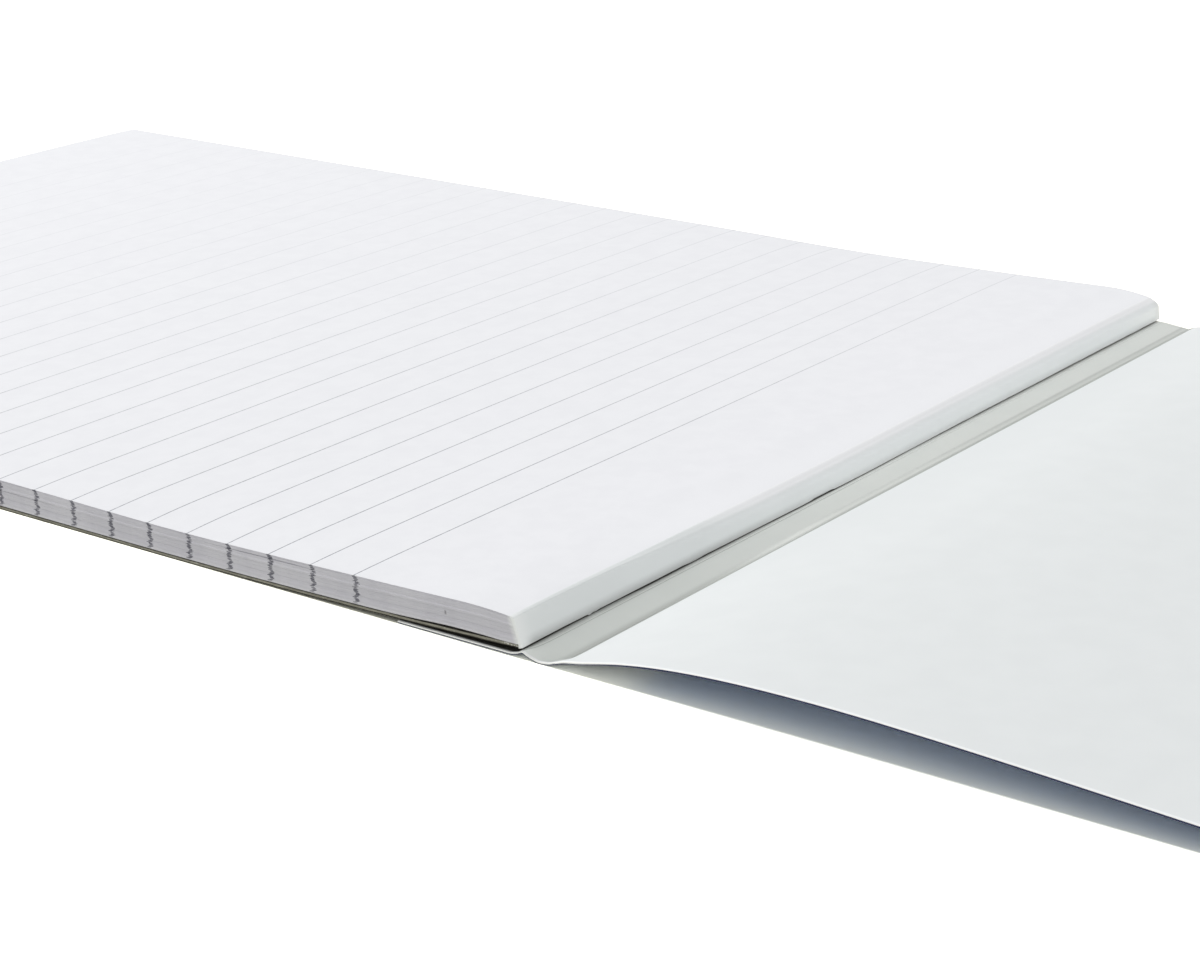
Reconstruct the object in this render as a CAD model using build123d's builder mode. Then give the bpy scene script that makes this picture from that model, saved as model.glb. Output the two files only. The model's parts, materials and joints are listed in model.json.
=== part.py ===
"""A head-glued writing pad, lying open with its card cover folded over the head.

Lengths are in millimetres. +X runs across the page, +Y from the foot past the head and along
the opened cover, +Z up from the table. The origin is the middle of the footprint, on the table.
Every piece is a side profile, drawn from the head end of the board, that runs across the page.
"""
from build123d import *
import os
from math import asin, cos, sin

# Sheets
page_width = 210.0
page_length = 297.0
sheet_count = 50
sheet_thickness = 0.1
# How far the head face leans back, from the bottom sheet to the top one
head_slant = 1.25
# How far the glue pinches the stack at the head, and how far back the pinch reaches
pinch_depth = 0.65
pinch_length = 12.0

# Back board, which curls up towards the head
board_thickness = 0.55
lift_length = 80.0
lift_height = 1.65

# Film of padding glue on the head, with its rounded top edge
glue_thickness = 0.25
glue_round = 0.1

# Card of the cover, and the slit left at each crease so that the card can turn there
card_thickness = 0.4
crease_gap = 0.15

# Tab under the board: glued at its inner end, hanging a little below the board at the head
tab_width = 24.0
tab_glue = 0.05
tab_droop = 0.6

# Spine strip: wider than the pad is thick, and clear of the glue when it stands up
spine_allowance = 0.15
spine_clearance = 0.75

# Front panel: stops short of the foot when closed, and bows up off the table when open
cover_shortfall = 1.0
crease_height = 0.5
bow_height = 5.8
bow_peak_share = 0.157
bow_landing_share = 0.63

# Handles of the two bow curves, as shares of each curve's run and of the bow's height
rise_start_shares = (0.27, 0.9)
rise_end_shares = (0.67, 1.0)
fall_start_shares = (0.21, 1.0)
fall_end_shares = (0.8, 0.0)

# Sizes that follow from those above
pad_thickness = board_thickness + sheet_count * sheet_thickness
bend_radius = (lift_length**2 + lift_height**2) / (2 * lift_height)
bend_angle = asin(lift_length / bend_radius)
spine_width = pad_thickness + spine_allowance
cover_length = page_length - cover_shortfall

# Crease lines, on the inner face of the card
tab_crease = Vector(glue_thickness + spine_clearance, lift_height - tab_droop)
spine_slope = asin((tab_crease.Y - crease_height) / spine_width)
cover_crease = tab_crease + Vector(cos(spine_slope), -sin(spine_slope)) * spine_width

# The drawing plane of all side profiles, placed so that the footprint is centred on the origin
cover_reach = cover_crease.X + cover_length
head_place = (page_length - cover_reach) / 2
side_plane = Plane(origin=(-page_width / 2, head_place, 0), x_dir=(0, 1, 0), z_dir=(1, 0, 0))


def pad_point(height, setback):
    """A point this high above the board's curled underside and this far back from its head end."""
    radius = bend_radius - height
    angle = bend_angle - setback / radius
    return Vector(radius * sin(angle) - lift_length, bend_radius - radius * cos(angle))


def curled_line(height, foot, head_setback):
    """A line of the pad at this height: level from the foot, then curled up towards the head."""
    flat_end = Vector(-lift_length, height)
    curl_middle = pad_point(height, (lift_length + head_setback) / 2)
    head_end = pad_point(height, head_setback)
    Line(foot, flat_end)
    curl = ThreePointArc(flat_end, curl_middle, head_end)
    return head_end, curl % 1


def card_outline(start, end, start_cut, end_cut):
    """Outline of flat card whose inner face runs from start to end, cut short at its ends."""
    along = (end - start).normalized()
    thickness = Vector(along.Y, -along.X) * card_thickness
    inner_start = start + along * start_cut
    inner_end = end - along * end_cut
    Polyline(inner_start, inner_end, inner_end + thickness, inner_start + thickness, close=True)


def bow_line(drop):
    """The bowed panel's line, this far below its inner face: up to the peak, down, and flat."""
    level = card_thickness - drop
    peak_run = bow_peak_share * cover_length
    fall_run = (bow_landing_share - bow_peak_share) * cover_length
    first = Vector(cover_crease.X + crease_gap / 2, cover_crease.Y - drop)
    peak = Vector(cover_crease.X + peak_run, level + bow_height)
    landing = Vector(peak.X + fall_run, level)
    last = Vector(cover_crease.X + cover_length, level)
    rise_handles = [
        Vector(cover_crease.X + run * peak_run, level + height * bow_height)
        for run, height in (rise_start_shares, rise_end_shares)
    ]
    fall_handles = [
        Vector(peak.X + run * fall_run, level + height * bow_height)
        for run, height in (fall_start_shares, fall_end_shares)
    ]
    Bezier(first, *rise_handles, peak)
    Bezier(peak, *fall_handles, landing)
    Line(landing, last)
    return first, last


# Grey chipboard back
with BuildPart() as back_board:
    with BuildSketch(side_plane):
        with BuildLine():
            foot_low = Vector(-page_length, 0)
            foot_high = Vector(-page_length, board_thickness)
            board_head_low, _ = curled_line(0, foot_low, 0)
            board_head_high, head_direction = curled_line(board_thickness, foot_high, 0)
            Line(foot_low, foot_high)
            Line(board_head_low, board_head_high)
        make_face()
    extrude(amount=page_width)

# All the sheets, as one block that slants back and is pinched at the head
with BuildPart() as paper_block:
    with BuildSketch(side_plane):
        with BuildLine():
            foot_low = Vector(-page_length, board_thickness)
            foot_high = Vector(-page_length, pad_thickness)
            sheets_head_low, _ = curled_line(board_thickness, foot_low, 0)
            shoulder, shoulder_direction = curled_line(pad_thickness, foot_high, pinch_length)
            sheets_head_high = pad_point(pad_thickness - pinch_depth, head_slant)
            TangentArc(shoulder, sheets_head_high, tangent=shoulder_direction)
            Line(foot_low, foot_high)
            Line(sheets_head_low, sheets_head_high)
        make_face()
    extrude(amount=page_width)

# Glue film down the head of the sheets and of the board
with BuildPart() as binding_glue:
    film = head_direction * glue_thickness
    with BuildSketch(side_plane):
        with BuildLine():
            head_points = [board_head_low, board_head_high, sheets_head_high]
            film_points = [point + film for point in reversed(head_points)]
            Polyline(*head_points, *film_points, close=True)
        make_face()
    extrude(amount=page_width)
    fillet(binding_glue.edges().filter_by(Axis.X).sort_by(Axis.Z)[-1], glue_round)

# Tab of the cover, glued under the board
with BuildPart() as cover_tab:
    with BuildSketch(side_plane):
        with BuildLine():
            card_outline(pad_point(-tab_glue, tab_width), tab_crease, 0, crease_gap / 2)
        make_face()
    extrude(amount=page_width)

# Spine strip, sloping from the head down towards the table
with BuildPart() as cover_spine:
    with BuildSketch(side_plane):
        with BuildLine():
            card_outline(tab_crease, cover_crease, crease_gap / 2, crease_gap / 2)
        make_face()
    extrude(amount=page_width)

# Front panel, bowed up off the table
with BuildPart() as cover_front:
    with BuildSketch(side_plane):
        with BuildLine():
            inner_first, inner_last = bow_line(0)
            outer_first, outer_last = bow_line(card_thickness)
            Line(inner_first, outer_first)
            Line(inner_last, outer_last)
        make_face()
    extrude(amount=page_width)

os.makedirs("parts", exist_ok=True)
paper_block.part.label = "paper_block"
export_step(paper_block.part, "parts/paper_block.step")
binding_glue.part.label = "binding_glue"
export_step(binding_glue.part, "parts/binding_glue.step")
back_board.part.label = "back_board"
export_step(back_board.part, "parts/back_board.step")
cover_tab.part.label = "cover_tab"
export_step(cover_tab.part, "parts/cover_tab.step")
cover_spine.part.label = "cover_spine"
export_step(cover_spine.part, "parts/cover_spine.step")
cover_front.part.label = "cover_front"
export_step(cover_front.part, "parts/cover_front.step")
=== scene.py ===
import json
import math

import bpy
import numpy as np
from mathutils import Matrix, Vector


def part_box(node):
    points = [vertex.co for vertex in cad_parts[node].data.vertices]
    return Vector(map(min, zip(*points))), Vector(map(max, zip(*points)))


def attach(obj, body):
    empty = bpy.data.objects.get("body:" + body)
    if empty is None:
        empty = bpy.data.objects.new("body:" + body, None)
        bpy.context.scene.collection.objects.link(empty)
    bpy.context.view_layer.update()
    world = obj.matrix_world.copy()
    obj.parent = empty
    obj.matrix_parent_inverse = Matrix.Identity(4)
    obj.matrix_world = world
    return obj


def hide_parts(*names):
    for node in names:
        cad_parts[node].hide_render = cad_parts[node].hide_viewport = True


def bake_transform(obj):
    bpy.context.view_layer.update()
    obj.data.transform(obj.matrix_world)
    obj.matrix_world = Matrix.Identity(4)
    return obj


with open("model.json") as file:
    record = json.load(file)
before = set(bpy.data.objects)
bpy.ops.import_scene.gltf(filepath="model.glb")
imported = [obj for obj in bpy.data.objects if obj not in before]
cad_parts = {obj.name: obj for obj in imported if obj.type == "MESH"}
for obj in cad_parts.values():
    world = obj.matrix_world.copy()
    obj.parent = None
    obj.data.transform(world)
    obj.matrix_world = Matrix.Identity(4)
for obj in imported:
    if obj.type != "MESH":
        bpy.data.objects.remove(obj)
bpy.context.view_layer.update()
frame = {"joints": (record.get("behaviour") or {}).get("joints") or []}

# Looks of a head-glued writing pad that lies open. Lengths here are in millimetres.
# x runs across the page, v from the board's head end along the opened cover, z up from the table.
# A setback runs from the head end back along the pad. The near side is the one at +x.
MM = 0.001
board_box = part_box("back_board")
half_width = board_box[1].x / MM
head_y = board_box[1].y / MM
creases = {joint["name"]: Vector(joint["pos_m"]) / MM for joint in frame["joints"]}
tab_crease = (creases["spine_fold"].y - head_y, creases["spine_fold"].z)
cover_crease = (creases["cover_fold"].y - head_y, creases["cover_fold"].z)
crease_v = cover_crease[0]

# Pad, as the solids have it
page_length = 297.0
sheet_count = 50
sheet_thickness = 0.1
head_slant = 1.25
pinch_depth = 0.65
pinch_length = 12.0
board_thickness = 0.55
lift_length = 80.0
lift_height = 1.65
glue_thickness = 0.25
stack_thickness = sheet_count * sheet_thickness
bend_radius = (lift_length**2 + lift_height**2) / (2 * lift_height)
bend_angle = math.asin(lift_length / bend_radius)

# How this pad is bent, beyond the solids
corner_radius = 0.3
side_gap = 0.12
far_pinch_depth = 0.7
far_upright_share = 0.8
droop_depth = 0.42
least_droop = 0.3
droop_start = 91.0
droop_width = 14.0
dome_height = 0.25
top_radius = 0.4
extra_far_radius = 1.9
top_turn_limit = 0.96

# Walls of the board's cut sides from the top: painted shade, chipboard, painted shade
board_kinds = [1, 2, 2, 2, 1, 1]

# Cover, as the solids have it, but bowed a little less
card_thickness = 0.4
tab_width = 24.0
tab_glue = 0.05
cover_length = 296.0
bow_height = 5.55
bow_peak = 0.157 * cover_length
bow_landing = 0.63 * cover_length

# Handles of the two bow curves, as shares of each curve's run and of the bow's height
rise_start_shares = (0.27, 0.9)
rise_end_shares = (0.67, 1.0)
fall_start_shares = (0.21, 1.0)
fall_end_shares = (0.8, 0.0)
bow_steps = 400

# The first crease's scored line, and how far before the second crease the cover's two meshes meet
score_v = 1.0
seam_setback = 1.3

# The card's cut edge: bevelled above, white, and with the dark outer layer and painted shade along
# its lower part
edge_bevel = 0.14
bevel_share = 0.24
edge_kinds = [2, 2, 3]

# Ruling
first_line = 32.45
line_pitch = 9.0
line_count = 28
line_core = 0.08
line_rim = 0.15

# Colours. A pair is the two ends of a mottle.
page_white = ((0.812, 0.812, 0.845), (0.83, 0.83, 0.862))
# Painted light on the page where it bends down at the head
page_painted_light = (0.92, 0.92, 0.955)
ruling_ink = (0.25, 0.26, 0.29)
edge_grey = ((0.62, 0.61, 0.66), (0.665, 0.655, 0.70))
lowest_edges = (0.77, 0.76, 0.79)
edge_ink = (0.10, 0.10, 0.13)
edge_nick = (0.12, 0.11, 0.12)
glued_edge = (0.86, 0.87, 0.87)
near_film = ((0.765, 0.79, 0.795), (0.79, 0.815, 0.82))
# Painted light on the far part of the glue film
far_film_painted_light = ((0.91, 0.935, 0.95), (0.93, 0.955, 0.97))
# Painted shade at the foot of the glue film
film_foot_painted_shade = (0.49, 0.50, 0.50)
# Thicker glue at the film's ends, with a painted highlight
film_end_bead_and_highlight = (0.845, 0.86, 0.865)
# Paper under the thinning film, with painted light on the rounded top edge
film_rim_paper_and_light = (0.94, 0.94, 0.965)
board_grey = ((0.24, 0.23, 0.19), (0.38, 0.37, 0.31))
board_fleck = (0.50, 0.49, 0.44)
board_crumb = (0.75, 0.74, 0.72)
# Painted shade on the board's faces and along the top and bottom of its cut sides
board_shade_dark = ((0.045, 0.042, 0.035), (0.07, 0.066, 0.055))
card_white = ((0.755, 0.775, 0.785), (0.77, 0.79, 0.80))
near_strip = ((0.785, 0.81, 0.785), (0.80, 0.825, 0.80))
# Painted light on the far part of the spine strip
far_strip_painted_light = ((0.935, 0.96, 0.93), (0.955, 0.975, 0.945))
# Painted shade where the lamp falls on the far strip before the crease
strip_painted_shade = (0.69, 0.71, 0.685)
# Painted shade along the second crease
crease_painted_shade = (0.345, 0.36, 0.345)
# Painted shade on the panel where it turns up towards the lamp
turned_card_painted_shade = (0.71, 0.73, 0.74)
# Painted shade in the gap under the glue film's foot, at its near and far ends
near_gap_painted_shade = (0.10, 0.095, 0.085)
far_gap_painted_shade = (0.62, 0.62, 0.585)
# Painted shade along the scored first crease
score_painted_shade = (0.3, 0.32, 0.3)
# Painted highlight along the card's near edge
card_painted_highlight = (0.97, 0.975, 1.0)
outside_blue = ((0.16, 0.24, 0.45), (0.175, 0.255, 0.47))
outside_pale = ((0.64, 0.67, 0.75), (0.67, 0.70, 0.78))
cut_card_white = ((0.90, 0.90, 0.885), (0.95, 0.95, 0.935))
# Dark outer layer of the card, with painted shade, on the lower part of its cut edge
cut_print_and_shade_dark = ((0.032, 0.036, 0.085), (0.05, 0.056, 0.12))
table_white = (0.92, 0.92, 0.87)
seen_table_white = (1.66, 1.65, 1.48)
room_white = (0.985, 1.0, 0.985)

random = np.random.default_rng(11)


def smooth(t):
    """Rises smoothly from 0 to 1."""
    t = np.clip(t, 0, 1)
    return t * t * (3 - 2 * t)


def step(position, start, run, size=1.0):
    """Rises smoothly from 0 to this size over the run."""
    return size * smooth((position - start) / run)


def hump(position, width, place=0.0, size=1.0):
    """A smooth hump of this size at this place."""
    return size * np.exp(-(((position - place) / width) ** 2))


def ripple(position, longest, waves, size):
    """A smooth random line, about this high, made of sines."""
    usual_height = 1.5
    total = np.zeros_like(position, dtype=float)
    for k in range(1, waves + 1):
        phase = random.uniform(0, 2 * math.pi)
        length = longest / k * random.uniform(0.8, 1.2)
        total += np.sin(2 * math.pi * position / length + phase) / k
    return size * (total / usual_height)


# Shape of the pad


def lift_share(x):
    """How much of the head's lift there is at x: less in the middle and towards the far end."""
    middle_dip = hump(x, width=42, place=14, size=0.25)
    far_dip = step(-x, start=0, run=60, size=0.06)
    return 1 - middle_dip - far_dip


def pad_point(x, height, setback):
    """v and z this high above the board's curled underside and this far back from its head end."""
    radius = bend_radius - height
    angle = np.maximum(bend_angle - setback / radius, 0)
    flat = np.maximum(setback - radius * bend_angle, 0)
    v = radius * np.sin(angle) - lift_length - flat
    rise = bend_radius - radius * np.cos(angle) - height
    return v, height + rise * lift_share(x)


def foot_setback(height):
    """Setback of the foot, which is upright."""
    return page_length - lift_length + (bend_radius - height) * bend_angle


def corner_share(x):
    """How far round the rounded end of the head face x is, from 0 to 1."""
    return np.clip((np.abs(x) - half_width + corner_radius) / corner_radius, 0, 1)


def corner_round(x):
    """How far the head face curves back towards its two ends."""
    return corner_radius * (1 - np.sqrt(1 - corner_share(x) ** 2))


def board_gap(x, setback):
    """How far the bottom sheet stands off the board along the sides."""
    inward = half_width - np.abs(x)
    gap = side_gap + hump(setback, width=7, place=13.5, size=0.26)
    return gap * step(setback, start=1.5, run=6) * hump(inward, width=25)


def far_share(x):
    """0 along the near part of the head and 1 along the far part, which stands more upright."""
    return step(half_width - x, start=20, run=50)


def sheet_height(x, share, setback):
    """Height of the sheet at this share of the stack: pinched at the head, domed and drooping."""
    pinch_run = np.clip((pinch_length - setback) / (pinch_length - head_slant), 0, 1)
    near_pinch = hump(x, width=22, place=72, size=0.25)
    pinch = (pinch_depth + far_pinch_depth * far_share(x) + near_pinch) * pinch_run**2
    edge = np.clip((np.abs(x) - droop_start) / droop_width, 0, 1) ** 2
    droop = droop_depth * edge * (least_droop + hump(setback, width=26, place=74, size=0.7))
    dome = dome_height * (1 - (x / half_width) ** 2) * step(setback, start=0, run=55)
    height = board_thickness + stack_thickness * share
    gap = board_gap(x, setback) * (1 - share) ** 2
    return height + gap + share * (dome - pinch) - share**2 * droop


def top_turn(x, share):
    """Radius of the head face's top edge, and how far round it this share of the stack is."""
    radius = top_radius + extra_far_radius * far_share(x)
    return radius, np.clip(1 - (1 - share) * stack_thickness / radius, 0, 1)


def head_setback(x, share):
    """Where the head face lies: slanted, and rounded under the top sheets."""
    radius, turn = top_turn(x, share)
    top_round = radius * (1 - np.sqrt(1 - top_turn_limit * turn**2))
    slant = head_slant * (1 - far_upright_share * far_share(x))
    return slant * share + top_round + corner_round(x)


# Mesh code


def grid_loop(rows, columns):
    """Indices round the edge of a grid."""
    near = [(0, j) for j in range(columns)]
    right = [(i, columns - 1) for i in range(1, rows)]
    far = [(rows - 1, j) for j in range(columns - 2, -1, -1)]
    left = [(i, 0) for i in range(rows - 2, 0, -1)]
    return np.array(near + right + far + left)


def edge_places(run, across):
    """Round a grid's edge: x, place along the run, which side (1, -1 or 0), and 1 at the foot."""
    rows, columns = len(run), len(across)
    i, j = grid_loop(rows, columns).T
    side = np.where(j == columns - 1, 1.0, np.where(j == 0, -1.0, 0.0))
    foot = np.where(i == rows - 1, 1.0, 0.0)
    return across[j], run[i], side, foot


def closed_block(top, bottom, walls=(), wall_kinds=None):
    """Points and faces of a closed block: two grids, and loops of points between their edges.

    The kinds tell the top faces, bottom faces and walls apart, each wall with its own if given.
    """
    rows, columns = top.shape[:2]
    count = rows * columns
    index = np.arange(count).reshape(rows, columns)
    corners = (index[:-1, :-1], index[:-1, 1:], index[1:, 1:], index[1:, :-1])
    cap = np.stack([c.ravel() for c in corners], 1)
    loop = grid_loop(rows, columns)
    edge = index[loop[:, 0], loop[:, 1]]
    size = len(edge)
    rings = [edge]
    rings += [2 * count + k * size + np.arange(size) for k in range(len(walls))]
    rings += [edge + count]
    sides = []
    for upper, lower in zip(rings, rings[1:]):
        quads = (upper, lower, np.roll(lower, -1), np.roll(upper, -1))
        sides.append(np.stack(quads, 1))
    sides = np.vstack(sides)
    points = np.vstack([top.reshape(-1, 3), bottom.reshape(-1, 3), *walls])
    faces = np.vstack([cap, cap[:, ::-1] + count, sides])
    wall_kinds = wall_kinds or [2] * (len(walls) + 1)
    kinds = np.concatenate([np.repeat([0, 1], len(cap)), np.repeat(wall_kinds, size)])
    return points, faces, kinds


def make_piece(name, points, faces, kinds, materials, sharp, values=None):
    """A mesh piece from points in millimetres, with hard edges above the sharp angle in degrees.

    Each kind of face has its own material. The values are numbers at the points, for the materials.
    """
    mesh = bpy.data.meshes.new(name)
    placed = (points + [0, head_y, 0]) * MM
    mesh.from_pydata(placed.tolist(), [], faces.tolist())
    for material in materials:
        mesh.materials.append(material)
    mesh.polygons.foreach_set("material_index", kinds.astype(np.int32))
    mesh.polygons.foreach_set("use_smooth", np.ones(len(faces), bool))
    mesh.set_sharp_from_angle(angle=math.radians(sharp))
    for key, numbers in (values or {}).items():
        attribute = mesh.attributes.new(key, "FLOAT", "POINT")
        attribute.data.foreach_set("value", np.asarray(numbers, np.float32))
    mesh.update()
    piece = bpy.data.objects.new(name, mesh)
    bpy.context.scene.collection.objects.link(piece)
    return piece


def stations(start, *runs):
    """Positions along a line, from a starting value and (end, steps) runs after it."""
    line = [start]
    for end, steps in runs:
        line += list(np.linspace(line[-1], end, steps + 1)[1:])
    return np.array(line, float)


def rounded_stations(*runs):
    """Stations across the page, with close ones round the corners at both ends."""
    corner_points, last_steps = 8, 6
    corner_turn = np.sin(np.linspace(0, math.pi / 2, corner_points))
    corner = half_width - corner_radius * (1 - corner_turn)
    middle = stations(-corner[0], *runs, (corner[0], last_steps))
    return np.concatenate([-corner[:0:-1], middle, corner[1:]])


# Materials


class Shade:
    """A node material with a Principled shader, and short calls to add nodes."""

    def __init__(self, name, roughness, specular):
        self.material = bpy.data.materials.new(name)
        self.material.use_nodes = True
        self.tree = self.material.node_tree
        self.shader = self.tree.nodes["Principled BSDF"]
        self.shader.inputs["Roughness"].default_value = roughness
        self.shader.inputs["Specular IOR Level"].default_value = specular
        self.place = self.add("ShaderNodeTexCoord").outputs["Object"]

    def add(self, kind, **settings):
        """Adds a node."""
        node = self.tree.nodes.new(kind)
        for key, value in settings.items():
            setattr(node, key, value)
        return node

    def put(self, socket, value):
        """Links a socket, or sets it to a plain value."""
        if isinstance(value, bpy.types.NodeSocket):
            self.tree.links.new(value, socket)
        else:
            socket.default_value = value

    def math(self, operation, *values):
        """One calculation on these values."""
        node = self.add("ShaderNodeMath", operation=operation)
        for socket, value in zip(node.inputs, values):
            self.put(socket, value)
        return node.outputs[0]

    def times(self, first, second):
        """The product of two values."""
        return self.math("MULTIPLY", first, second)

    def apart(self, value, place):
        """Distance of a value from a place."""
        return self.math("ABSOLUTE", self.math("SUBTRACT", value, place))

    def ramp(self, value, low, high, out_low=0.0, out_high=1.0):
        """Maps a value smoothly from the range low to high to the range out_low to out_high."""
        node = self.add("ShaderNodeMapRange", interpolation_type="SMOOTHSTEP")
        for socket, number in zip(node.inputs, (value, low, high, out_low, out_high)):
            self.put(socket, number)
        return node.outputs[0]

    def position(self, axis):
        """Position along this axis, in millimetres."""
        node = self.add("ShaderNodeSeparateXYZ")
        self.put(node.inputs[0], self.place)
        return self.math("DIVIDE", node.outputs[axis], MM)

    def value(self, name):
        """One of the numbers at the mesh's points."""
        return self.add("ShaderNodeAttribute", attribute_name=name).outputs["Fac"]

    def noise(self, scale, detail, stretch=(1, 1, 1), rough=0.5):
        """Noise whose grain is 1 / scale millimetres, stretched along the axes."""
        mapping = self.add("ShaderNodeMapping")
        self.put(mapping.inputs["Vector"], self.place)
        mapping.inputs["Scale"].default_value = [scale / MM / s for s in stretch]
        node = self.add("ShaderNodeTexNoise")
        self.put(node.inputs["Vector"], mapping.outputs[0])
        node.inputs["Scale"].default_value = 1.0
        node.inputs["Detail"].default_value = detail
        node.inputs["Roughness"].default_value = rough
        return node.outputs["Fac"]

    def mottle(self, scale, detail, **settings):
        """Noise with its usual range spread over 0 to 1."""
        usual_low, usual_high = 0.3, 0.7
        return self.ramp(self.noise(scale, detail, **settings), usual_low, usual_high)

    def mix(self, share, first, second):
        """Blends two colours. Inputs 6 and 7 and output 2 are the colour ones."""
        node = self.add("ShaderNodeMix", data_type="RGBA")
        self.put(node.inputs[0], share)
        for socket, colour in ((node.inputs[6], first), (node.inputs[7], second)):
            self.put(socket, (*colour, 1) if isinstance(colour, tuple) else colour)
        return node.outputs[2]

    def colour(self, value):
        """Sets the surface's colour."""
        self.put(self.shader.inputs["Base Color"], value)

    def relief(self, height, distance, strength):
        """Bump of this distance in millimetres."""
        node = self.add("ShaderNodeBump")
        node.inputs["Strength"].default_value = strength
        node.inputs["Distance"].default_value = distance * MM
        self.put(node.inputs["Height"], height)
        self.put(self.shader.inputs["Normal"], node.outputs[0])

    def line_gap(self, along):
        """Distance to the nearest ruled line, in millimetres, and that line's number."""
        steps = self.math("DIVIDE", self.math("SUBTRACT", along, first_line), line_pitch)
        number = self.math("MAXIMUM", self.math("ROUND", steps), 0.0)
        number = self.math("MINIMUM", number, line_count - 1.0)
        return self.times(self.apart(steps, number), line_pitch), number


def page_material():
    """White uncoated paper with thin grey ruling."""
    shade = Shade("page_paper", roughness=0.9, specular=0.25)
    along = shade.value("along")
    across = shade.position("X")
    paper = shade.mix(shade.mottle(0.25, 3), *page_white)

    # Painted light where the sheets bend down at the head, lifting the shade on their slope, apart
    # from the near side
    near_head = shade.ramp(along, 2.0, 12.0, 0.85, 0.0)
    bent = shade.times(near_head, shade.ramp(across, 95.0, 50.0, 0.2, 1.0))
    paper = shade.mix(bent, paper, page_painted_light)

    # Uneven ink, which fades towards the far side and towards the foot
    gap, _ = shade.line_gap(along)
    ink = shade.ramp(gap, line_core, line_rim, 1.0, 0.0)
    strength = shade.ramp(shade.noise(2.0, 2), 0.25, 0.7, 0.65, 1.0)
    strength = shade.times(strength, shade.ramp(across, half_width, -half_width, 1.0, 0.33))
    strength = shade.times(strength, shade.ramp(along, 50.0, 250.0, 1.0, 0.3))
    shade.colour(shade.mix(shade.times(ink, strength), paper, ruling_ink))
    shade.relief(shade.noise(5.0, 3, rough=0.6), distance=0.012, strength=0.5)
    return shade.material


def edge_material():
    """Cut edges of the sheets: streaked, with the ruling's ink showing as jagged ticks."""
    shade = Shade("sheet_edges", roughness=0.95, specular=0.15)
    sheet = shade.value("sheet")
    along = shade.value("along")
    paper = shade.mix(shade.mottle(0.3, 3, stretch=(1, 1.5, 6)), *edge_grey)
    paper = shade.mix(shade.ramp(sheet, 1.0, 6.0, 0.6, 0.0), paper, lowest_edges)

    # Each tick has its own length and strength, and the lowest sheets' ticks are faint
    gap, number = shade.line_gap(shade.math("ADD", along, shade.value("shift")))
    cell = shade.add("ShaderNodeCombineXYZ")
    shade.put(cell.inputs[0], sheet)
    shade.put(cell.inputs[1], number)
    draw = shade.add("ShaderNodeTexWhiteNoise", noise_dimensions="3D")
    shade.put(draw.inputs["Vector"], cell.outputs[0])
    chance = draw.outputs["Value"]
    shortest, spread, strongest = 0.24, 0.32, 0.9
    reach = shade.math("MULTIPLY_ADD", chance, spread, shortest)
    ink = shade.times(shade.math("LESS_THAN", gap, reach), strongest)
    fade = shade.ramp(chance, 0.0, 0.6, 0.4, 1.0)
    fade = shade.times(fade, shade.ramp(sheet, 0.0, 4.0, 0.15, 1.0))
    paper = shade.mix(shade.times(ink, fade), paper, edge_ink)

    # One dark nick close to the head
    nick_setback, nick_sheet = 14.2, 23.0
    nick = shade.ramp(shade.apart(along, nick_setback), 0.1, 0.25, 0.55, 0.0)
    nick = shade.times(nick, shade.ramp(shade.apart(sheet, nick_sheet), 2.0, 5.0, 1.0, 0.0))
    paper = shade.mix(nick, paper, edge_nick)

    # Glue has crept a little way along the sides
    glued = shade.ramp(shade.value("depth"), 0.0, 1.1, 0.75, 0.0)
    shade.colour(shade.mix(glued, paper, glued_edge))
    shade.relief(shade.noise(8.0, 2, stretch=(1, 3, 0.5)), distance=0.01, strength=0.5)
    return shade.material


def glue_material():
    """Smooth padding glue film: painted shade at its foot, painted light at its far end and far top
    edge.
    """
    shade = Shade("padding_glue", roughness=0.42, specular=0.4)
    across = shade.position("X")
    cloud = shade.mottle(0.08, 3)
    # Painted light: the film is paler towards its far end
    near = shade.mix(cloud, *near_film)
    far = shade.mix(cloud, *far_film_painted_light)
    film = shade.mix(shade.ramp(across, half_width, -15.0), near, far)
    # Painted shade at the foot of the film, in the corner where it meets the cover, stronger towards
    # the near end
    low = shade.ramp(shade.value("height"), 0.0, 1.8, 1.0, 0.0)
    low = shade.times(low, shade.ramp(across, 60.0, 20.0, 0.85, 0.42))
    film = shade.mix(low, film, film_foot_painted_shade)
    # Lighter towards both ends: a thicker bead of glue there, with a painted highlight where the film
    # turns round the corner
    from_middle = shade.math("ABSOLUTE", across)
    film = shade.mix(shade.ramp(from_middle, half_width - 3.5, half_width - 0.4), film, film_end_bead_and_highlight)
    # Where the film thins over the rounded top edge at the far end, the paper shows through, with
    # painted light lifting the shade of the curve
    shade.colour(shade.mix(shade.ramp(shade.value("rim"), 0.45, 1.0), film, film_rim_paper_and_light))
    shade.relief(shade.noise(0.35, 3, stretch=(2, 1, 1)), distance=0.05, strength=0.4)
    return shade.material


def chipboard_material():
    """Grey-brown chipboard with fibres and flecks, and pale crumbs at the head."""
    shade = Shade("chipboard", roughness=0.95, specular=0.15)
    base = shade.mix(shade.mottle(1.5, 4, stretch=(1, 4, 0.6), rough=0.7), *board_grey)
    fleck = shade.ramp(shade.noise(3.0, 1, stretch=(1, 2, 1)), 0.66, 0.72)
    base = shade.mix(fleck, base, board_fleck)
    crumb = shade.ramp(shade.noise(2.2, 2), 0.52, 0.58)
    at_head = shade.ramp(shade.position("Y"), head_y - 4.5, head_y - 1.5)
    shade.colour(shade.mix(shade.times(crumb, at_head), base, board_crumb))
    shade.relief(shade.noise(3.0, 4, stretch=(1, 3, 1), rough=0.7), distance=0.05, strength=0.7)
    return shade.material


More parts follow.
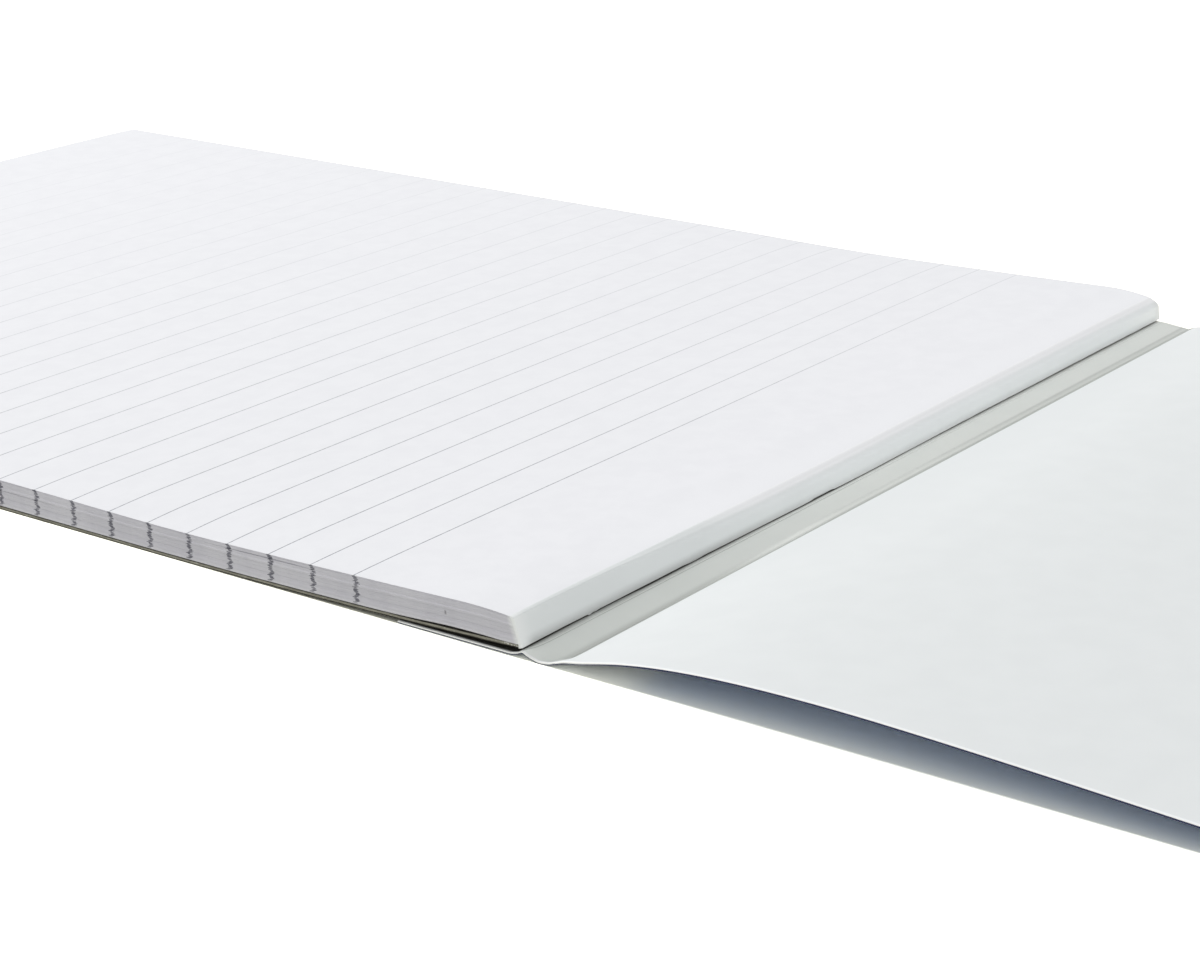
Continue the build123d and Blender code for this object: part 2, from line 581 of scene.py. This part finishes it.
def board_shade_material():
    """Painted shade on both faces of the back board and on the upper and lower strips of its cut
    sides.
    """
    shade = Shade("board_painted_shade", roughness=0.9, specular=0.15)
    shade.colour(shade.mix(shade.mottle(2.0, 3), *board_shade_dark))
    return shade.material


def card_inside_material():
    """White card inside the cover, greyer on the spine strip, with a line along each crease."""
    shade = Shade("card_inside", roughness=0.55, specular=0.35)
    mottle = shade.mottle(0.15, 3)
    fold = shade.value("fold")
    inward = shade.value("inward")

    # Spine strip, paler towards its far end as painted light
    near = shade.mix(mottle, *near_strip)
    far = shade.mix(mottle, *far_strip_painted_light)
    strip = shade.mix(shade.ramp(inward, 0.0, 110.0), near, far)
    # Painted shade on a band before the second crease at the far end, where the lamp falls on the
    # strip
    lit = shade.ramp(fold, crease_v - 1.75, crease_v - 1.05)
    lit = shade.times(lit, shade.ramp(inward, 55.0, 85.0))
    strip = shade.mix(lit, strip, strip_painted_shade)

    # Painted shade in a band along the second crease, with a soft start on the strip
    shade_lead_in = shade.ramp(fold, crease_v - 1.4, crease_v - 0.1)
    shade_lead_in = shade.times(shade_lead_in, shade.ramp(inward, 40.0, 90.0, 0.4, 0.2))
    crease_shade = shade.math("MAXIMUM", shade_lead_in, shade.ramp(fold, crease_v - 0.15, crease_v + 0.15))
    crease_shade = shade.times(crease_shade, shade.ramp(inward, 0.8, 3.0))
    strip = shade.mix(crease_shade, strip, crease_painted_shade)

    # Panel, with painted shade where it turns up past the crease and faces the lamp
    turned = shade.ramp(fold, crease_v + 0.5, crease_v + 20.0, 1.0, 0.0)
    turned = shade.times(turned, shade.ramp(inward, 20.0, 80.0))
    panel = shade.mix(turned, shade.mix(mottle, *card_white), turned_card_painted_shade)

    # The strip's colours end just past the crease, a little further on at the far end
    bent = shade.math("SUBTRACT", fold, shade.ramp(inward, 50.0, 140.0, 0.5, 0.9))
    before = shade.ramp(bent, crease_v + 0.2, crease_v + 0.5, 1.0, 0.0)
    card = shade.mix(before, panel, strip)

    # Painted shade on the card in the gap under the glue film's foot: a dark line of uneven width
    # below the film, darkest at the near end
    gap_painted_shade = shade.mix(shade.ramp(inward, 90.0, 160.0), near_gap_painted_shade, far_gap_painted_shade)
    shown = shade.math("ADD", fold, shade.ramp(inward, 22.0, 34.0, 0.3, 0.0))
    shown = shade.math("SUBTRACT", shown, shade.ramp(inward, 58.0, 78.0, 0.0, 0.25))
    shown = shade.math("ADD", shown, shade.ramp(inward, 98.0, 115.0, 0.0, 0.25))
    card = shade.mix(shade.ramp(shown, -0.3, 0.2, 1.0, 0.0), card, gap_painted_shade)

    # Painted shade along the scored line of the first crease, and a painted highlight along the near
    # edge
    score = shade.ramp(shade.math("ABSOLUTE", shade.value("score")), 0.05, 0.16, 0.45, 0.0)
    score = shade.times(score, shade.ramp(inward, 75.0, 120.0, 1.0, 0.25))
    card = shade.mix(score, card, score_painted_shade)
    # Painted highlight on the rim of the near edge
    shade.colour(shade.mix(shade.ramp(inward, 0.2, 0.55, 0.9, 0.0), card, card_painted_highlight))
    shade.relief(shade.noise(4.0, 2), distance=0.006, strength=0.5)
    return shade.material


def card_outside_material():
    """Plain outside of the cover: blue-grey, with a pale band along the spine."""
    shade = Shade("card_outside", roughness=0.5, specular=0.4)
    mottle = shade.mottle(0.3, 3)
    blue = shade.mix(mottle, *outside_blue)
    pale = shade.mix(mottle, *outside_pale)
    band_end, colour_start = 19.6, 20.0
    past_band = shade.ramp(shade.value("fold"), band_end, colour_start)
    shade.colour(shade.mix(past_band, pale, blue))
    shade.relief(shade.noise(4.0, 2), distance=0.006, strength=0.5)
    return shade.material


def card_edge_material():
    """White cut edge of the card."""
    shade = Shade("card_edge", roughness=0.9, specular=0.2)
    shade.colour(shade.mix(shade.mottle(4.0, 2, stretch=(1, 4, 0.3)), *cut_card_white))
    shade.relief(shade.noise(6.0, 2), distance=0.01, strength=0.5)
    return shade.material


def print_and_shade_material():
    """Dark outer layer of the card where its cut edge shows it, widened as painted shade along the
    edge's lower part.
    """
    shade = Shade("card_print_and_shade_edge", roughness=0.8, specular=0.2)
    shade.colour(shade.mix(shade.mottle(4.0, 2), *cut_print_and_shade_dark))
    return shade.material


page_paper = page_material()
sheet_edges = edge_material()
glue = glue_material()
chipboard = chipboard_material()
board_painted_shade = board_shade_material()
card_inside = card_inside_material()
card_outside = card_outside_material()
card_edge = card_edge_material()
card_print_and_shade = print_and_shade_material()


def build_sheets():
    """One block whose sides show each sheet's edge."""
    across = rounded_stations((-droop_start, 10), (droop_start, 30))
    run = stations(0, (0.005, 5), (0.05, 13), (0.3, 46), (1, 60))

    def point(x, share, part, outset=0.0):
        start = head_setback(x, share)
        end = foot_setback(board_thickness + share * stack_thickness)
        setback = start + (end - start) * part + outset
        v, z = pad_point(x, sheet_height(x, share, setback), setback)
        return np.stack(np.broadcast_arrays(x, v, z), -1), setback, setback - start

    part, x = np.meshgrid(run, across, indexing="ij")
    at_x, at_part, side, foot = edge_places(run, across)
    at_setback = at_part * page_length

    # Each sheet's outset, the groove below it, and how far its ruling is shifted along the page
    order = np.arange(sheet_count)
    drift = ripple(order, longest=30, waves=4, size=0.05)
    drift += random.normal(scale=0.018, size=sheet_count)
    deep_chance, deep_groove, shallow_groove = 0.12, 0.035, 0.008
    groove = np.where(random.random(sheet_count) < deep_chance, deep_groove, shallow_groove)
    usual_shift, lowest_setback = 0.3, 0.4
    shift = usual_shift + ripple(order, longest=18, waves=6, size=0.1)
    shift += random.normal(scale=0.17, size=sheet_count)
    shift[:4] -= lowest_setback
    shift[-2:] = 0.0

    # Waves of the cut, different on each side
    side_offset = 400
    cut = ripple(at_setback + side_offset * side, longest=40, waves=4, size=0.02)

    # Places where the sheets stand apart: the sheet above, start, end, and half the gap
    openings = (
        (42, 36, 66, 0.045),
        (43, 40, 58, 0.03),
        (30, 96, 140, 0.03),
        (36, 150, 190, 0.035),
    )
    steepness = 1.6
    apart = np.zeros((sheet_count + 1, len(at_x)))
    for sheet, start, end, gap in openings:
        middle, half = (start + end) / 2, (end - start) / 2
        apart[sheet] = gap * smooth(steepness * (1 - np.abs(at_setback - middle) / half))

    walls, sheet_rows, shift_rows, along_rows, depth_rows = [], [], [], [], []

    def add_row(share, outset, sheet):
        row, setback, depth = point(at_x, share, at_part, foot * outset)
        row[:, 0] += side * outset
        walls.append(row)
        along_rows.append(setback)
        depth_rows.append(depth)
        sheet_rows.append(np.full(len(at_x), sheet))
        shift_rows.append(np.full(len(at_x), shift[sheet]))

    rim = 0.012
    groove_per_gap = 4
    for sheet in range(sheet_count - 1, -1, -1):
        outset = drift[sheet] + cut
        high = (sheet + 1) * sheet_thickness - rim - apart[sheet + 1]
        low = sheet * sheet_thickness + rim + apart[sheet]
        add_row(high / stack_thickness, outset, sheet)
        add_row(low / stack_thickness, outset, sheet)
        if sheet:
            inner = np.minimum(drift[sheet], drift[sheet - 1]) + cut
            inner = inner - groove[sheet] - groove_per_gap * apart[sheet]
            add_row(sheet * sheet_thickness / stack_thickness, inner, sheet)

    top, top_setback, top_depth = point(x, 1.0, part)
    bottom, bottom_setback, bottom_depth = point(x, 0.0, part)
    points, faces, kinds = closed_block(top, bottom, walls)
    top_sheet, bottom_sheet = np.full(x.size, sheet_count - 1), np.zeros(x.size)
    top_shift, bottom_shift = np.full(x.size, shift[-1]), np.full(x.size, shift[0])
    values = {
        "along": np.concatenate([top_setback.ravel(), bottom_setback.ravel(), *along_rows]),
        "depth": np.concatenate([top_depth.ravel(), bottom_depth.ravel(), *depth_rows]),
        "sheet": np.concatenate([top_sheet, bottom_sheet, *sheet_rows]),
        "shift": np.concatenate([top_shift, bottom_shift, *shift_rows]),
    }
    materials = [page_paper, page_paper, sheet_edges]
    piece = make_piece("sheets", points, faces, kinds, materials, sharp=35, values=values)
    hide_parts("paper_block")
    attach(piece, "pad")


def build_glue():
    """The glue film, as a thick skin on a line up the head of the board and of the sheets."""
    across = rounded_stations((80, 184), (104, 120))
    columns = len(across)
    line, turns, heights = [], [], []
    for share in (-0.1, 0, 0.5, 1):
        line.append(pad_point(across, share * board_thickness, corner_round(across)))
        turns.append(np.zeros(columns))
        heights.append(share * board_thickness)
    for share in stations(0.02, (0.5, 8), (1, 34)):
        back = head_setback(across, share)
        line.append(pad_point(across, sheet_height(across, share, back), back))
        turns.append(top_turn(across, share)[1])
        heights.append(board_thickness + share * stack_thickness)
    for over in (0.05, 0.12):
        back = head_setback(across, 1.0) + over
        line.append(pad_point(across, sheet_height(across, 1.0, back), back))
        turns.append(np.ones(columns))
        heights.append(board_thickness + stack_thickness)
    turns = smooth(np.array(turns))
    line = np.array(line).transpose(0, 2, 1)
    rows = len(line)

    # The bottom end hangs unevenly, with a few lumps of glue: place, depth and half width
    hang = ripple(across, longest=23, waves=6, size=0.05)
    lumps = (
        (95, -0.28, 7),
        (79, -0.13, 6),
        (20, -0.3, 17),
        (88.2, 0.34, 0.7),
        (86.6, 0.24, 1.2),
        (61, 0.1, 3),
        (33, 0.12, 2.5),
    )
    for place, depth, width in lumps:
        hang += hump(across, width, place, depth)
    line[0, :, 1] -= hang

    # The film is thinner over the rounded top edge, at its upper and lower ends and at the corners
    top_thinning, upper_end_share, lower_end_share, corner_thinning = 0.92, 0.2, 0.55, 0.98
    thickness = np.ones((rows, columns)) * glue_thickness
    thickness *= 1 + ripple(across, longest=60, waves=5, size=0.15)[None]
    thickness *= 1 - top_thinning * turns
    thickness[-1] *= upper_end_share
    thickness[0] *= lower_end_share
    thickness *= np.sqrt(1 - corner_thinning * corner_share(across) ** 2)[None]

    ahead = np.gradient(line, axis=0)
    ahead /= np.linalg.norm(ahead, axis=2, keepdims=True)
    normal = np.stack([ahead[..., 1], -ahead[..., 0]], -1)
    x = np.broadcast_to(across, (rows, columns))[..., None]
    outer = np.concatenate([x, line + normal * thickness[..., None]], -1)
    inner = np.concatenate([x, line], -1)
    points, faces, kinds = closed_block(outer, inner)
    rim = (turns * far_share(across)).ravel()
    height = np.repeat(heights, columns)
    values = {"rim": np.concatenate([rim, rim]), "height": np.concatenate([height, height])}
    piece = make_piece("glue_film", points, faces, kinds, [glue] * 3, sharp=60, values=values)
    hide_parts("binding_glue")
    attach(piece, "pad")


def build_board():
    """The back board: rough cut sides, with painted shade on both faces and on the sides' upper and
    lower strips.
    """
    across = rounded_stations((90, 60))
    run = stations(0, (0.004, 3), (0.3, 60), (1, 60))

    def point(x, height, part, outset=0.0):
        start = corner_round(x)
        setback = start + (foot_setback(height) - start) * part + outset
        v, z = pad_point(x, height, setback)
        return np.stack(np.broadcast_arrays(x, v, z), -1)

    part, x = np.meshgrid(run, across, indexing="ij")
    at_x, at_part, side, foot = edge_places(run, across)
    side_offset, inset = 500, 0.04
    walls = []
    for share in (0.86, 0.65, 0.45, 0.25, 0.05):
        place = at_part * page_length + side_offset * side
        outset = ripple(place, longest=9, waves=8, size=0.05) - inset
        row = point(at_x, share * board_thickness, at_part, foot * outset)
        row[:, 0] += side * outset
        walls.append(row)
    top, bottom = point(x, board_thickness, part), point(x, 0.0, part)
    points, faces, kinds = closed_block(top, bottom, walls, board_kinds)
    materials = [board_painted_shade, board_painted_shade, chipboard]
    piece = make_piece("board", points, faces, kinds, materials, sharp=35)
    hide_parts("back_board")
    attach(piece, "pad")


# Cover: the tab and most of the strip in one piece, the rest of the strip and the panel in another


def bezier(first, second, third, last, steps):
    """Points along a curve with two handles."""
    t = np.linspace(0, 1, steps + 1)[:, None]
    handles = np.array([first, second, third, last], float)
    return (
        (1 - t) ** 3 * handles[0]
        + 3 * t * (1 - t) ** 2 * handles[1]
        + 3 * t**2 * (1 - t) * handles[2]
        + t**3 * handles[3]
    )


def bow_point(start, run, shares):
    """A point of the bow, at these shares of a run after its start and of the bow's height."""
    run_share, height_share = shares
    return start + run_share * run, card_thickness + height_share * bow_height


peak_v = crease_v + bow_peak
landing_v = crease_v + bow_landing
free_end_v = crease_v + cover_length
peak = (peak_v, card_thickness + bow_height)
rise_line = bezier(
    cover_crease,
    bow_point(crease_v, bow_peak, rise_start_shares),
    bow_point(crease_v, bow_peak, rise_end_shares),
    peak,
    bow_steps,
)
fall_line = bezier(
    peak,
    bow_point(peak_v, bow_landing - bow_peak, fall_start_shares),
    bow_point(peak_v, bow_landing - bow_peak, fall_end_shares),
    (landing_v, card_thickness),
    bow_steps,
)
tab_start = pad_point(np.array([half_width]), -tab_glue, np.array([tab_width]))
tab_start = (float(tab_start[0][0]), float(tab_start[1][0]))
free_end = (free_end_v, card_thickness)
card_line = np.vstack([[tab_start, tab_crease], rise_line, fall_line[1:], [free_end]])


def score_gap(x, v):
    """Distance past the scored line, which bends towards the pad at the near end."""
    return v - score_v + hump(half_width - x, width=3, size=0.75)


def cover_height(x, v):
    """Height of the card's inner face above the table. Its near end is bent at the creases."""
    inward = half_width - x
    near = hump(inward, width=2.4)
    height = np.interp(v, card_line[:, 0], card_line[:, 1])
    sag_at_head, sag_slope = 0.44, 0.0075
    sag_depth = sag_at_head + sag_slope * v
    sag = sag_depth * hump(inward, width=9) * (1 - step(v, start=-2.2, run=2.4))
    peak = near * hump(v, width=0.5, place=0.3, size=0.3)
    dip = near * hump(v, width=1.8, place=3.2, size=0.42)
    lift_place = 6.8
    lift_width = np.where(v < lift_place, 1.1, 3.2)
    lift = near * hump(v, lift_width, lift_place, size=0.55)
    groove = hump(score_gap(x, v), width=0.1, size=0.06)
    groove += (1 - near) * hump(v, width=0.14, place=crease_v, size=0.08)
    return height - sag + peak - dip + lift - groove


def print_share(v):
    """Share of the card's thickness at which its dark outer layer and painted shade start: less past
    the crease.
    """
    share_at_crease = 0.66
    return share_at_crease - step(v - crease_v, start=3, run=14, size=0.3)


def build_cover(name, run, nodes):
    """A mesh of the card along this run, in place of these parts of the solids."""
    across = stations(-half_width, (90, 50), (102, 16), (half_width, 10))
    v, x = np.meshgrid(run, across, indexing="ij")
    inner = cover_height(x, v)
    side_margin = 0.01
    at_side = np.abs(x) > half_width - side_margin
    bevel = np.where(at_side, np.sign(x) * edge_bevel, 0)
    top = np.stack([x - bevel, v, inner], -1)
    bottom = np.stack([x, v, inner - card_thickness], -1)
    ring_x, ring_v, _, _ = edge_places(run, across)
    walls = []
    for share in (bevel_share, print_share(ring_v)):
        height = cover_height(ring_x, ring_v) - share * card_thickness
        walls.append(np.stack([ring_x, ring_v, height], -1))
    points, faces, kinds = closed_block(top, bottom, walls, edge_kinds)
    all_x = np.concatenate([x.ravel(), x.ravel()] + [ring_x] * len(walls))
    all_v = np.concatenate([v.ravel(), v.ravel()] + [ring_v] * len(walls))
    values = {"fold": all_v, "score": score_gap(all_x, all_v), "inward": half_width - all_x}
    materials = [card_inside, card_outside, card_edge, card_print_and_shade]
    piece = make_piece(name, points, faces, kinds, materials, sharp=40, values=values)
    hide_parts(*nodes)
    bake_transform(piece)


build_sheets()
build_glue()
build_board()
seam = crease_v - seam_setback
build_cover(
    "cover_hinge",
    run=stations(tab_start[0], (-4, 14), (-0.8, 12), (1.8, 32), (seam, 14)),
    nodes=["cover_tab", "cover_spine"],
)
build_cover(
    "cover_panel",
    run=stations(
        seam,
        (crease_v + seam_setback, 32),
        (crease_v + 12, 24),
        (landing_v, 70),
        (free_end_v, 16),
    ),
    nodes=["cover_front"],
)


# Floor and light, in metres. The seen floor turns plain white between these distances.
white_distances = (0.6, 1.2)
floor_reach = 4.0
floor_height = -0.02 * MM


def seen_straight(tree):
    """1 for rays that show the background: from the camera, off metal and through glass."""
    path = tree.nodes.new("ShaderNodeLightPath")
    share = path.outputs["Is Camera Ray"]
    for key in ("Is Glossy Ray", "Is Transmission Ray"):
        larger = tree.nodes.new("ShaderNodeMath")
        larger.operation = "MAXIMUM"
        tree.links.new(share, larger.inputs[0])
        tree.links.new(path.outputs[key], larger.inputs[1])
        share = larger.outputs[0]
    return share


def choose_shader(tree, share, first, second):
    """Blends two shaders."""
    node = tree.nodes.new("ShaderNodeMixShader")
    for socket, source in zip(node.inputs, (share, first.outputs[0], second.outputs[0])):
        tree.links.new(source, socket)
    return node


def floor_material():
    """White table. Where it is seen it is a clear white, and it keeps the shadows."""
    material = bpy.data.materials.new("table_white")
    material.use_nodes = True
    tree = material.node_tree
    tree.nodes.remove(tree.nodes["Principled BSDF"])
    table = tree.nodes.new("ShaderNodeBsdfDiffuse")
    table.inputs["Color"].default_value = (*table_white, 1)
    seen = tree.nodes.new("ShaderNodeBsdfDiffuse")
    seen.inputs["Color"].default_value = (*seen_table_white, 1)
    white = tree.nodes.new("ShaderNodeEmission")
    place = tree.nodes.new("ShaderNodeNewGeometry")
    distance = tree.nodes.new("ShaderNodeVectorMath")
    distance.operation = "LENGTH"
    tree.links.new(place.outputs["Position"], distance.inputs[0])
    away = tree.nodes.new("ShaderNodeMapRange")
    tree.links.new(distance.outputs["Value"], away.inputs[0])
    for socket, number in zip(away.inputs[1:], white_distances):
        socket.default_value = number
    fade = choose_shader(tree, away.outputs[0], seen, white)
    surface = choose_shader(tree, seen_straight(tree), table, fade)
    tree.links.new(surface.outputs[0], tree.nodes["Material Output"].inputs["Surface"])
    return material


signs = ((-1, -1), (1, -1), (1, 1), (-1, 1))
corners = [(x * floor_reach, y * floor_reach, floor_height) for x, y in signs]
floor_mesh = bpy.data.meshes.new("floor")
floor_mesh.from_pydata(corners, [], [(0, 1, 2, 3)])
floor_mesh.materials.append(floor_material())
floor = bpy.data.objects.new("floor", floor_mesh)
bpy.context.scene.collection.objects.link(floor)

world = bpy.data.worlds.new("studio")
bpy.context.scene.world = world
world.use_nodes = True
world_tree = world.node_tree
room = world_tree.nodes["Background"]
room.inputs["Color"].default_value = (*room_white, 1)
room.inputs["Strength"].default_value = 0.5
backdrop = world_tree.nodes.new("ShaderNodeBackground")
backdrop.inputs["Color"].default_value = (1, 1, 1, 1)
backdrop.inputs["Strength"].default_value = 1.0
surround = choose_shader(world_tree, seen_straight(world_tree), room, backdrop)
world_tree.links.new(surround.outputs[0], world_tree.nodes["World Output"].inputs["Surface"])


def add_lamp(name, place, size, energy):
    """A round lamp that faces the middle of the object."""
    data = bpy.data.lights.new(name, "AREA")
    data.shape = "DISK"
    data.size = size
    data.energy = energy
    lamp = bpy.data.objects.new(name, data)
    lamp.location = place
    lamp.rotation_mode = "QUATERNION"
    lamp.rotation_quaternion = (-lamp.location).to_track_quat("-Z", "Y")
    bpy.context.scene.collection.objects.link(lamp)


# The key stands behind the foot and the fill beyond the cover, both in line with the near edge
add_lamp("key", place=(0.22, -2.652, 1.789), size=0.22, energy=68.0)
add_lamp("fill", place=(0.25, 2.4, 2.4), size=0.5, energy=22.0)

# Camera, fitted to the photograph's edges: place in millimetres, angles in degrees
camera_place = Vector((402.16, head_y + 240.81, 163.49))
camera_angles = (37.19, 19.53, -0.94)
yaw, pitch, roll = (math.radians(angle) for angle in camera_angles)
level = math.cos(pitch)
forward = Vector((-level * math.cos(yaw), -level * math.sin(yaw), -math.sin(pitch)))
right = Vector((-math.sin(yaw), math.cos(yaw), 0))
up = right.cross(forward)
turned_right = math.cos(roll) * right + math.sin(roll) * up
turned_up = math.cos(roll) * up - math.sin(roll) * right
camera_data = bpy.data.cameras.new("camera")
camera_data.sensor_width = 36.0
camera_data.lens = 84.0
camera_data.clip_start = 0.01
camera = bpy.data.objects.new("camera", camera_data)
axes = Matrix((turned_right, turned_up, -forward)).transposed().to_4x4()
camera.matrix_world = Matrix.Translation(camera_place * MM) @ axes
bpy.context.scene.collection.objects.link(camera)
bpy.context.scene.camera = camera
bpy.context.scene.view_settings.view_transform = "Standard"
